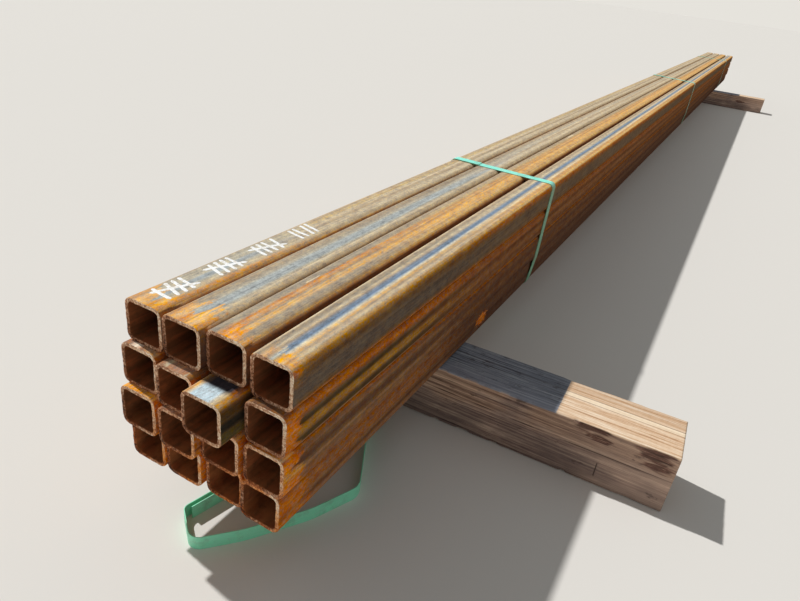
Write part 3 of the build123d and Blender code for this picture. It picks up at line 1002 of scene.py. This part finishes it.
# %% Materials of the straps
def strap_material(name, shaded, painted_sunlit, dust):
    """A strap's material with its own greens and dust."""
    material, tree, shader = new_material(name)
    made = use_group(tree, strapping, {"Shaded": shaded, "Painted sunlit": painted_sunlit, "Dust": dust})
    feed(tree, shader.inputs["Base Color"], made["Colour"])
    feed(tree, shader.inputs["Roughness"], made["Roughness"])
    bump = put(tree, "Bump", {"Height": made["Height"], "Distance": 0.25 * mm, "Strength": 0.6})
    feed(tree, shader.inputs["Normal"], bump.outputs[0])
    return material


# Tight straps: a shaded green on the sides, a sunlit green on top; the loose strap's two are alike.
tight_green = strap_material("strap_tight", paint(98, 158, 120), paint(133, 244, 222), 0.55)
loose_green = strap_material("strap_loose", paint(150, 248, 204), paint(150, 248, 204), 0.35)
STRAPS = {"strap_near": tight_green, "strap_middle": tight_green, "strap_far": tight_green,
          "loose_strap": loose_green}
for name, material in STRAPS.items():
    frame["nodes"][name].data.materials.clear()
    frame["nodes"][name].data.materials.append(material)
print("straps", len(STRAPS))

# %% [markdown]
# The timbers are rough sawn and have lain outside for years. Sun and rain wash the soft spring wood out
# and leave the hard rings proud, the faces split along the grain, and splinters tear off. All of that
# is real depth, so each timber is a fine mesh whose points are moved in along its own faces. Nothing
# moves out, because the sawn size is the frame's. The mesh is finest towards the right end, which
# sticks out from under the bundle.

# %% Timber as a fine mesh
TIMBER_ROUND = 2.5 * mm
ROUND_STEPS = 4
SECTION_STEP = 1.6 * mm
FINE_RING, COARSE_RING = 2 * mm, 5 * mm
RIGHT_PART = 350 * mm
SKEWS = {"bearer_near": math.radians(2.2), "bearer_far": math.radians(1.5)}


def timber_size(name):
    """Width, length and height of a timber, from its box and how far it is turned in it."""
    low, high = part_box(name)
    span = high - low
    cosine, sine = math.cos(SKEWS[name]), abs(math.sin(SKEWS[name]))
    scale = cosine * cosine - sine * sine
    width = (span.x * cosine - span.y * sine) / scale
    length = (span.y * cosine - span.x * sine) / scale
    return width, length, span.z


def timber_section(width, height):
    """Points round a timber's section from its top front edge, over the top and on round."""
    points = []
    reach_x, reach_z = width / 2 - TIMBER_ROUND, height / 2 - TIMBER_ROUND
    corners = [(-reach_x, reach_z, 180), (reach_x, reach_z, 90),
               (reach_x, -reach_z, 0), (-reach_x, -reach_z, 270)]
    for number, (x, z, start) in enumerate(corners):
        for turn in range(ROUND_STEPS + 1):
            angle = math.radians(start - 90 * turn / ROUND_STEPS)
            points.append(Vector((x + TIMBER_ROUND * math.cos(angle), z + TIMBER_ROUND * math.sin(angle))))
        onward = corners[(number + 1) % 4]
        end_angle = math.radians(start - 90)
        offset = Vector((TIMBER_ROUND * math.cos(end_angle), TIMBER_ROUND * math.sin(end_angle)))
        first, last = Vector((x, z)) + offset, Vector(onward[:2]) + offset
        pieces = round((last - first).length / SECTION_STEP)
        for piece in range(1, pieces):
            points.append(first.lerp(last, piece / pieces))
    return points


print("near timber in mm", [round(side / mm) for side in timber_size("bearer_near")])

# %% How deep the front is torn
TEAR_DEPTH = 2.6 * mm


def torn_depth(from_right, below_top, patches):
    """Depth torn out of the front face: ragged patches, whose fibres broke off at different depths."""
    deepest = 0.0
    for along, down, long, tall in patches:
        off_long, off_tall = (from_right - along) / (long / 2), (below_top - down) / (tall / 2)
        if max(abs(off_long), abs(off_tall)) > 1.7:
            continue
        ragged = 0.5 * noise.noise(Vector((from_right * 24, below_top * 150, along * 90)))
        ragged += 0.45 * noise.noise(Vector((from_right * 40, below_top * 520, along * 90)))
        inside = min(1.0, max(0.0, (1.0 - math.hypot(off_long, off_tall) + ragged) * 1.3))
        fibre = 0.75 + 0.5 * noise.noise(Vector((from_right * 16, below_top * 420, 3.0)))
        deepest = max(deepest, TEAR_DEPTH * inside * min(1.0, max(0.0, fibre)))
    return deepest


# %% How deep the weather has gone in
RIDGE_DEPTH = 0.35 * mm
SPLIT_DEPTH = 2.0 * mm
GROOVE_DEPTH = 0.8 * mm
GROOVE_WANDER = 1.6 * mm
CHIP_DEPTH, CHIP_REACH = 2.2 * mm, 6 * mm
SAW_MARK_DEPTH, SAW_MARK_HALF = 0.8 * mm, 1.1 * mm
MARKS = ("torn", "crack", "chipped")
GROOVES = [(65 * mm, 1.9 * mm), (54 * mm, 1.5 * mm)]


def weather_depth(spot, size, seed, patches, saw_mark, edge_chips):
    """Depth lost at a spot of a timber, and how far it is torn, cracked or chipped there."""
    width, length, height = size
    x, y, z = spot
    away = spot + Vector((seed, seed, seed))
    from_right, below_top = y + length / 2, height / 2 - z
    grain = noise.fractal(Vector((away.x * 210, away.y * 4, away.z * 210)), 1.0, 2.0, 3)
    ridges = RIDGE_DEPTH * max(0.0, grain + 0.25)
    bend = 0.25 * noise.noise(Vector((away.y * 3.1, seed, 0.5)))
    split = noise.noise(Vector((away.x * 42 + bend, seed, away.z * 42 + bend)))
    crack = SPLIT_DEPTH * max(0.0, 1.0 - abs(split) * 30.0) * max(0.0, noise.noise(away * 7) + 0.05)
    if below_top < TIMBER_ROUND:
        wander = GROOVE_WANDER * noise.noise(Vector((away.y * 6, 0.5, 0.5)))
        for behind_front, half in GROOVES:
            off = abs(x + width / 2 - behind_front - wander)
            crack = max(crack, GROOVE_DEPTH * max(0.0, 1.0 - off / half))
    corner = max(0.0, 1.0 - (width / 2 - abs(x) + height / 2 - abs(z)) / CHIP_REACH)
    chip = CHIP_DEPTH * corner * max(0.0, noise.noise(Vector((3, away.y * 34, 5 + z * 9))) - 0.2)
    torn = 0.0
    if x < 0:
        for along, long, depth in edge_chips:
            near = 1.0 - abs(from_right - along) / (long / 2)
            chip = max(chip, depth * corner * min(1.0, max(0.0, 2.0 * near)))
        on_front = min(1.0, max(0.0, (TIMBER_ROUND - x - width / 2) / TIMBER_ROUND))
        torn = on_front * torn_depth(from_right, below_top, patches)
        if saw_mark:
            along, top, bottom = saw_mark
            if abs(from_right - along) < SAW_MARK_HALF and top < below_top < bottom:
                crack = SAW_MARK_DEPTH
    depth = ridges + crack + chip + torn
    return depth, min(1.0, torn / mm), min(1.0, crack / mm), min(1.0, chip / mm)


# %% Mesh of a timber
END_ROUGHNESS = 0.5 * mm


def timber(name, seed, patches=(), saw_mark=None, edge_chips=()):
    """The named timber as a weathered mesh, which remembers where it is torn, cracked and chipped."""
    size = timber_size(name)
    width, length, height = size
    section = timber_section(width, height)
    mesh = bmesh.new()
    layers = [mesh.verts.layers.float.new(kind) for kind in MARKS]

    def ring(y):
        made = []
        for point in section:
            inner_x = max(-width / 2 + TIMBER_ROUND, min(width / 2 - TIMBER_ROUND, point.x))
            inner_z = max(-height / 2 + TIMBER_ROUND, min(height / 2 - TIMBER_ROUND, point.y))
            normal = Vector((point.x - inner_x, 0, point.y - inner_z)).normalized()
            spot = Vector((point.x, y, point.y))
            depth, *marks = weather_depth(spot, size, seed, patches, saw_mark, edge_chips)
            vertex = mesh.verts.new(spot - normal * depth)
            for layer, mark in zip(layers, marks):
                vertex[layer] = mark
            made.append(vertex)
        return made

    right_end, left_part = -length / 2, length - RIGHT_PART
    fine, coarse = round(RIGHT_PART / FINE_RING), round(left_part / COARSE_RING)
    stations = [right_end + RIGHT_PART * number / fine for number in range(fine)]
    stations += [right_end + RIGHT_PART + left_part * number / coarse for number in range(coarse + 1)]
    hoops = [ring(y) for y in stations]
    count = len(section)
    for first, second in zip(hoops, hoops[1:]):
        for index in range(count):
            after = (index + 1) % count
            face = mesh.faces.new((first[index], second[index], second[after], first[after]))
            face.smooth = True
    for hoop, y in ((hoops[0], -length / 2), (hoops[-1], length / 2)):
        outer = hoop
        for shrink in (0.9, 0.6, 0.3):
            inner = []
            for point in section:
                x, z = point.x * shrink, point.y * shrink
                rough = END_ROUGHNESS * (1 + noise.noise(Vector((x * 150, y, z * 150))))
                inner.append(mesh.verts.new((x, y - math.copysign(rough, y), z)))
            for index in range(count):
                after = (index + 1) % count
                face = mesh.faces.new((outer[index], outer[after], inner[after], inner[index]))
                face.material_index = 1
            outer = inner
        mesh.faces.new(outer).material_index = 1
    bmesh.ops.recalc_face_normals(mesh, faces=mesh.faces)
    data = bpy.data.meshes.new(name)
    mesh.to_mesh(data)
    mesh.free()
    return data


# %% [markdown]
# Wood grain seen from the side is straight lines, drawn out along the timber. Noise that is stretched a
# hundredfold closes into long loops like knots, so here it doesn't change along the timber at all: a
# slow, small drift sideways is all that bends the lines, and they run a little off the sawn edge. The
# top is wheat-coloured where the sun reaches it. Beside the bundle it is painted blue-grey, a painted
# shadow of the bundle whose edge lies where the lamp's own shadow ends, and paler towards the front.
# The torn places, the splits and the chips were stored on the mesh while it was made, so red heartwood
# and pale new wood show exactly where the wood is missing; the splits are painted brown in the sun and
# near black elsewhere, as painted light and shade. Both timbers wear the same wood, so its grain, its
# sawn sides, its top and its marks are groups, and each timber's own material tells them only where
# its faces and ends are.

# %% Grain of the wood
def make_wood_grain():
    """Rings, lines and pores that run lengthwise, and two slower noises that the colours follow."""
    outputs = {"Grain": "Float", "Lines": "Float", "Slow": "Float", "Spots": "Float"}
    tree, given, made = new_group("Wood grain", {"Drift": ("Float", 0.006)}, outputs)
    place = put(tree, "TexCoord").outputs["Object"]
    parts = put(tree, "SeparateXYZ", {0: place}).outputs
    drift = calc(tree, "SUBTRACT", clouds(tree, place, (5.0, 4.0, 5.0), detail=2.0), 0.5)
    shifts = []
    for axis, slope in (("X", 0.014), ("Z", -0.02)):
        shifted = calc(tree, "MULTIPLY_ADD", parts["Y"], slope, parts[axis])
        shifts.append(calc(tree, "MULTIPLY_ADD", drift, given["Drift"], shifted))
    across = put(tree, "CombineXYZ", {0: shifts[0], 1: 0.0, 2: shifts[1]}).outputs[0]
    rings = clouds(tree, across, (210.0, 1.0, 210.0), detail=5.0, roughness=0.6)
    lines = clouds(tree, place, (620.0, 8.0, 620.0), detail=4.0, roughness=0.65)
    pores = clouds(tree, place, (900.0, 60.0, 900.0), detail=2.0, roughness=0.7)
    grain = calc(tree, "MULTIPLY", rings, 0.5)
    for source, share in ((lines, 0.33), (pores, 0.17)):
        grain = calc(tree, "MULTIPLY_ADD", source, share, grain)
    feed(tree, made["Grain"], grain)
    feed(tree, made["Lines"], lines)
    feed(tree, made["Slow"], clouds(tree, place, (24.0, 9.0, 24.0), detail=4.0))
    feed(tree, made["Spots"], clouds(tree, place, (60.0, 30.0, 60.0), detail=5.0, roughness=0.7))
    return tree


wood_grain = make_wood_grain()
print("group", wood_grain.name, "with", len(wood_grain.nodes), "nodes")


# %% Colours of the sawn sides
def make_sawn_sides():
    """Sawn faces: warmer near the top, dirty low down and on the left, and paler at the right end."""
    inputs = {socket: ("Float", 0.5) for socket in ("Grain", "Slow", "Spots", "From top", "From right")}
    tree, given, made = new_group("Sawn sides", inputs, {"Colour": "Color"})
    grain, slow, from_top = given["Grain"], given["Slow"], given["From top"]
    # The sawn colours carry a painted cool cast, the blue of sky-lit shade, cooler than the wood is.
    sawn = colour_ramp(tree, grain, [
        (0.38, paint(98, 78, 74)), (0.46, paint(150, 124, 112)), (0.54, paint(190, 162, 144)),
        (0.63, paint(236, 206, 180))])
    warm = colour_ramp(tree, grain, [
        (0.38, paint(116, 84, 66)), (0.48, paint(176, 136, 106)), (0.6, paint(222, 180, 144))])
    upper_part = rise(tree, uneven(tree, from_top, slow, 0.16), 15 * mm, 50 * mm, 0.45, 0.0)
    sawn = mix(tree, upper_part, sawn, warm)
    from_end = uneven(tree, given["From right"], slow, 0.3)
    splashed = uneven(tree, calc(tree, "MULTIPLY_ADD", from_end, 0.12, from_top), slow, 0.25)
    dirt = rise(tree, splashed, 60 * mm, 130 * mm, 0.0, 0.55)
    sawn = mix(tree, dirt, sawn, paint(92, 80, 80))
    paler_end = rise(tree, from_end, 60 * mm, 200 * mm, 0.32, 0.0)
    sawn = mix(tree, paler_end, sawn, paint(214, 182, 160))
    spotted = rise(tree, given["Spots"], 0.6, 0.7, 0.0, 0.6)
    feed(tree, made["Colour"], mix(tree, spotted, sawn, paint(70, 58, 56)))
    return tree


sawn_sides = make_sawn_sides()
print("group", sawn_sides.name, "with", len(sawn_sides.nodes), "nodes")


# %% Colours of the top, with its painted shadow
def make_weathered_top():
    """Top face: wheat in the sun, with a pale ridge between the grooves, and a grey painted shadow
    elsewhere.
    """
    inputs = {socket: ("Float", 0.5) for socket in ("Grain", "Slow", "Spots", "Behind front", "Painted sunlit")}
    tree, given, made = new_group("Top with painted shadow", inputs, {"Colour": "Color"})
    grain, behind_front, painted_sunlit = given["Grain"], given["Behind front"], given["Painted sunlit"]
    wheat = colour_ramp(tree, grain, [
        (0.37, paint(146, 102, 72)), (0.43, paint(200, 160, 124)), (0.5, paint(226, 195, 162)),
        (0.62, paint(252, 238, 216))])
    # The grey is a painted shadow: the bundle's shade on the wood, cooler and darker than the wheat.
    grey = colour_ramp(tree, grain, [
        (0.37, paint(54, 55, 62)), (0.44, paint(104, 108, 118)), (0.53, paint(142, 147, 156)),
        (0.64, paint(192, 197, 202))])
    grey = mix(tree, rise(tree, given["Spots"], 0.54, 0.68, 0.0, 0.7), grey, paint(64, 56, 60))
    # The painted shadow is paler towards the front edge.
    ragged_front = uneven(tree, behind_front, given["Slow"], 30 * mm)
    by_front = rise(tree, ragged_front, 12 * mm, 30 * mm, 0.35, 0.0)
    grey = mix(tree, by_front, grey, paint(176, 178, 190))
    weathered = mix(tree, painted_sunlit, grey, wheat)
    between_grooves = sum(behind for behind, half in GROOVES) / len(GROOVES)
    off_groove = calc(tree, "ABSOLUTE", calc(tree, "SUBTRACT", behind_front, between_grooves))
    pale_ridge = rise(tree, off_groove, 3 * mm, 6 * mm, 0.55, 0.0)
    weathered = mix(tree, calc(tree, "MULTIPLY", pale_ridge, painted_sunlit), weathered, paint(252, 234, 204))
    rear = rise(tree, behind_front, 64 * mm, 78 * mm, 0.0, 0.3)
    weathered = mix(tree, calc(tree, "MULTIPLY", rear, painted_sunlit), weathered, paint(168, 128, 92))
    feed(tree, made["Colour"], weathered)
    return tree


top_with_painted_shadow = make_weathered_top()
print("group", top_with_painted_shadow.name, "with", len(top_with_painted_shadow.nodes), "nodes")


# %% Chipped, torn and split places
def make_wood_marks():
    """Lays the chipped, torn and split places that the mesh remembers over a colour."""
    inputs = {"Colour": ("Color", (0.6, 0.4, 0.25, 1.0)), "Sunny": ("Float", 1.0)}
    tree, given, made = new_group("Wood marks", inputs, {"Colour": "Color"})
    place = put(tree, "TexCoord").outputs["Object"]
    torn, crack, chipped = [put(tree, "Attribute", attribute_name=kind).outputs["Fac"] for kind in MARKS]
    fibres = clouds(tree, place, (800.0, 22.0, 800.0), detail=3.0, roughness=0.65)
    heart = colour_ramp(tree, fibres, [
        (0.38, paint(44, 26, 24)), (0.5, paint(88, 54, 50)), (0.58, paint(116, 76, 66)),
        (0.67, paint(190, 150, 126))])
    # Splits are brown where the top is sunny and near black elsewhere: painted light and shade.
    cracked = mix(tree, given["Sunny"], paint(52, 42, 38), paint(116, 78, 52))
    pale_chips = rise(tree, chipped, 0.5, 1.2, 0.0, 0.45)
    colour = mix(tree, pale_chips, given["Colour"], paint(196, 172, 152))
    colour = mix(tree, rise(tree, torn, 0.1, 1.0, 0.0, 0.8), colour, heart)
    colour = mix(tree, rise(tree, crack, 0.15, 0.8, 0.0, 0.8), colour, cracked)
    feed(tree, made["Colour"], colour)
    return tree


wood_marks = make_wood_marks()
print("group", wood_marks.name, "with", len(wood_marks.nodes), "nodes")

# %% Material of a timber
GRAIN_BUMP = 1.4 * mm
GRAIN_DRIFT = 6 * mm
PAINTED_SHADOW_EDGE = 0.7 * mm


def timber_material(name, size, painted_shadow_from_right):
    """Long-grain timber: wheat on top as far in from the right end as is given, grey painted shadow
    beyond.
    """
    width, length, height = size
    material, tree, shader = new_material(name)
    place = put(tree, "TexCoord").outputs["Object"]
    parts = put(tree, "SeparateXYZ", {0: place}).outputs
    behind_front = calc(tree, "ADD", parts["X"], width / 2)
    from_top = calc(tree, "SUBTRACT", height / 2, parts["Z"])
    from_right = calc(tree, "ADD", parts["Y"], length / 2)
    wood = use_group(tree, wood_grain, {"Drift": GRAIN_DRIFT})
    # The painted shadow starts this far in from the right end, at the edge of the lamp's own shadow.
    ragged_edge = uneven(tree, from_right, wood["Lines"], 3 * mm)
    start, end = painted_shadow_from_right - PAINTED_SHADOW_EDGE, painted_shadow_from_right + PAINTED_SHADOW_EDGE
    painted_sunlit = rise(tree, ragged_edge, start, end, 1.0, 0.0)
    shared = {socket: wood[socket] for socket in ("Grain", "Slow", "Spots")}
    on_sides = {**shared, "From top": from_top, "From right": from_right}
    sawn = use_group(tree, sawn_sides, on_sides)["Colour"]
    upwards = {**shared, "Behind front": behind_front, "Painted sunlit": painted_sunlit}
    weathered = use_group(tree, top_with_painted_shadow, upwards)["Colour"]
    on_top = rise(tree, from_top, 1.4 * mm, 3.2 * mm, 1.0, 0.0)
    sunny = calc(tree, "MULTIPLY", painted_sunlit, on_top)
    colour = mix(tree, on_top, sawn, weathered)
    colour = use_group(tree, wood_marks, {"Colour": colour, "Sunny": sunny})["Colour"]
    feed(tree, shader.inputs["Base Color"], colour)
    shader.inputs["Roughness"].default_value = 0.88
    shader.inputs["Specular IOR Level"].default_value = 0.15
    inputs = {"Vector": place, "Scale": 38.0, "Distortion": 1.5, "Detail": 2.0}
    saw_lines = put(tree, "TexWave", inputs, bands_direction="Y").outputs["Fac"]
    relief = calc(tree, "MULTIPLY_ADD", saw_lines, 0.08, wood["Grain"])
    bump = put(tree, "Bump", {"Height": relief, "Distance": GRAIN_BUMP, "Strength": 0.8})
    feed(tree, shader.inputs["Normal"], bump.outputs[0])
    return material


# %% [markdown]
# The saw cut a timber's ends across its rings, so there they show as arcs round a heart that lies
# outside the piece. A wave texture draws them, and a coarse noise lays yard dirt over them.

# %% End grain
end_grain, tree, shader = new_material("end_grain")
place = put(tree, "TexCoord").outputs["Object"]
off_heart = put(tree, "VectorMath", {0: place, 1: (0.07, 0.0, 0.12)}, operation="ADD").outputs[0]
rings = put(tree, "TexWave", {"Vector": off_heart, "Scale": 60.0, "Distortion": 2.5, "Detail": 3.0},
            wave_type="RINGS", rings_direction="Y")
coarse = clouds(tree, place, (160.0, 160.0, 160.0), detail=4.0)
wood = mix(tree, rings.outputs["Fac"], paint(176, 140, 104), paint(122, 90, 66))
wood = mix(tree, rise(tree, coarse, 0.45, 0.7, 0.0, 0.6), wood, paint(92, 82, 76))
feed(tree, shader.inputs["Base Color"], wood)
shader.inputs["Roughness"].default_value = 0.9
print("material", end_grain.name)

# %% [markdown]
# A timber's marks are measured in from its right end. A torn patch says how far in and how far below
# the top it is, how long and how tall. The saw's slip says how far in, and from where to where down the
# front. A chip of the front edge says how far in, how long and how deep. The far timber is seen from so
# far off that one torn patch does.

# %% Place the timbers
NEAR_MARKS = dict(
    patches=[(122 * mm, 5 * mm, 62 * mm, 18 * mm), (108 * mm, 16 * mm, 44 * mm, 14 * mm),
             (34 * mm, 8 * mm, 60 * mm, 22 * mm), (22 * mm, 26 * mm, 46 * mm, 22 * mm)],
    saw_mark=(98 * mm, 57 * mm, 80 * mm),
    edge_chips=[(140 * mm, 10 * mm, 3 * mm), (248 * mm, 18 * mm, 2 * mm), (300 * mm, 26 * mm, 2.4 * mm),
                (345 * mm, 14 * mm, 2 * mm)])
FAR_MARKS = dict(patches=[(150 * mm, 40 * mm, 60 * mm, 20 * mm)])
# How far in from the right end the painted shadow of the bundle starts on the timbers' tops.
PAINTED_SHADOW_FROM_RIGHT = 171 * mm
for name, seed, marks in (("bearer_near", 0.37, NEAR_MARKS), ("bearer_far", 4.81, FAR_MARKS)):
    low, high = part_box(name)
    long_grain = timber_material("long_grain_" + name, timber_size(name), PAINTED_SHADOW_FROM_RIGHT)
    data = timber(name, seed, **marks)
    piece = show("weathered_" + name, data, [long_grain, end_grain], [name])
    piece.location = (low + high) / 2
    piece.rotation_euler.z = SKEWS[name]
    print(name, "triangles", 2 * len(data.polygons))

# %% [markdown]
# The stage is plain: a pale floor, a soft sky and one lamp high on the left, so that the tops are bright
# and the right side and the cut ends lie in shade. The lamp is small enough for the thin black shadows
# between the tubes to stay crisp. The sky's strength and the lamp's add up to about one on a surface
# that faces up, so a colour renders about as it was written. The camera and the gloss see a pale
# backdrop instead of the dim sky, which Light Path picks out.

# %% Floor
FLOOR_REACH = 60.0
floor_mesh = bpy.data.meshes.new("floor")
floor_corners = [(x * FLOOR_REACH, y * FLOOR_REACH, 0) for x, y in ((-1, -1), (1, -1), (1, 1), (-1, 1))]
floor_mesh.from_pydata(floor_corners, [], [(0, 1, 2, 3)])
floor = bpy.data.objects.new("floor", floor_mesh)
bpy.context.scene.collection.objects.link(floor)
floor_paint, tree, shader = new_material("floor_paint")
shader.inputs["Base Color"].default_value = paint(224, 220, 213)
shader.inputs["Roughness"].default_value = 0.95
shader.inputs["Specular IOR Level"].default_value = 0.1
floor_mesh.materials.append(floor_paint)
print("floor in metres", 2 * FLOOR_REACH)

# %% Sky
SKY_LEVEL = 0.3
world = bpy.data.worlds.new("soft_sky")
bpy.context.scene.world = world
world.use_nodes = True
tree = world.node_tree
sky = tree.nodes["Background"]
sky.inputs["Color"].default_value = (0.95, 0.98, 1.0, 1.0)
sky.inputs["Strength"].default_value = SKY_LEVEL
backdrop = put(tree, "Background", {"Color": paint(230, 227, 220), "Strength": 1.0})
rays = put(tree, "LightPath").outputs
mirrored = calc(tree, "MAXIMUM", rays["Is Glossy Ray"], rays["Is Transmission Ray"])
seen = calc(tree, "MAXIMUM", rays["Is Camera Ray"], mirrored)
both = put(tree, "MixShader", {0: seen, 1: sky.outputs[0], 2: backdrop.outputs[0]})
feed(tree, tree.nodes["World Output"].inputs["Surface"], both.outputs[0])
print("world", world.name)

# %% Lamp
KEY_LEVEL = 0.74
towards_lamp = Vector((0.12, 0.875, 1.0)).normalized()
lamp = bpy.data.lights.new("soft_key", "SUN")
lamp.angle = math.radians(1.4)
lamp.energy = KEY_LEVEL * math.pi / towards_lamp.z
key = bpy.data.objects.new("soft_key", lamp)
key.rotation_euler = towards_lamp.to_track_quat("Z", "Y").to_euler()
bpy.context.scene.collection.objects.link(key)
bpy.context.scene.view_settings.view_transform = "Standard"
print("lamp strength", round(lamp.energy, 2))

# %% [markdown]
# The camera stands where the photographer stood, low over the near right corner and close to it. Close
# and wide is what makes the near end so large and the far end so small. Its place is measured from the
# corner of the bundle, and its aim and roll turn it as a hand-held camera was turned.

# %% Camera
FROM_DATUM = Vector((-374.0, -486.7, 524.5)) * mm
AIM = Vector((0.7976, 0.3855, -0.4638))
ROLL = math.radians(7.65)
datum = Vector((near_end, left_side, underside))
camera_data = bpy.data.cameras.new("camera")
camera_data.sensor_width = 36.0
camera_data.lens = 28.23
camera_data.clip_start = 0.01
camera = bpy.data.objects.new("camera", camera_data)
camera.location = datum + FROM_DATUM
camera.rotation_mode = "QUATERNION"
camera.rotation_quaternion = AIM.to_track_quat("-Z", "Y") @ Quaternion((0, 0, 1), ROLL)
bpy.context.scene.collection.objects.link(camera)
bpy.context.scene.camera = camera
axes = camera.rotation_quaternion.to_matrix()
print("camera right", [round(v, 4) for v in axes.col[0]], "up", [round(v, 4) for v in axes.col[1]])
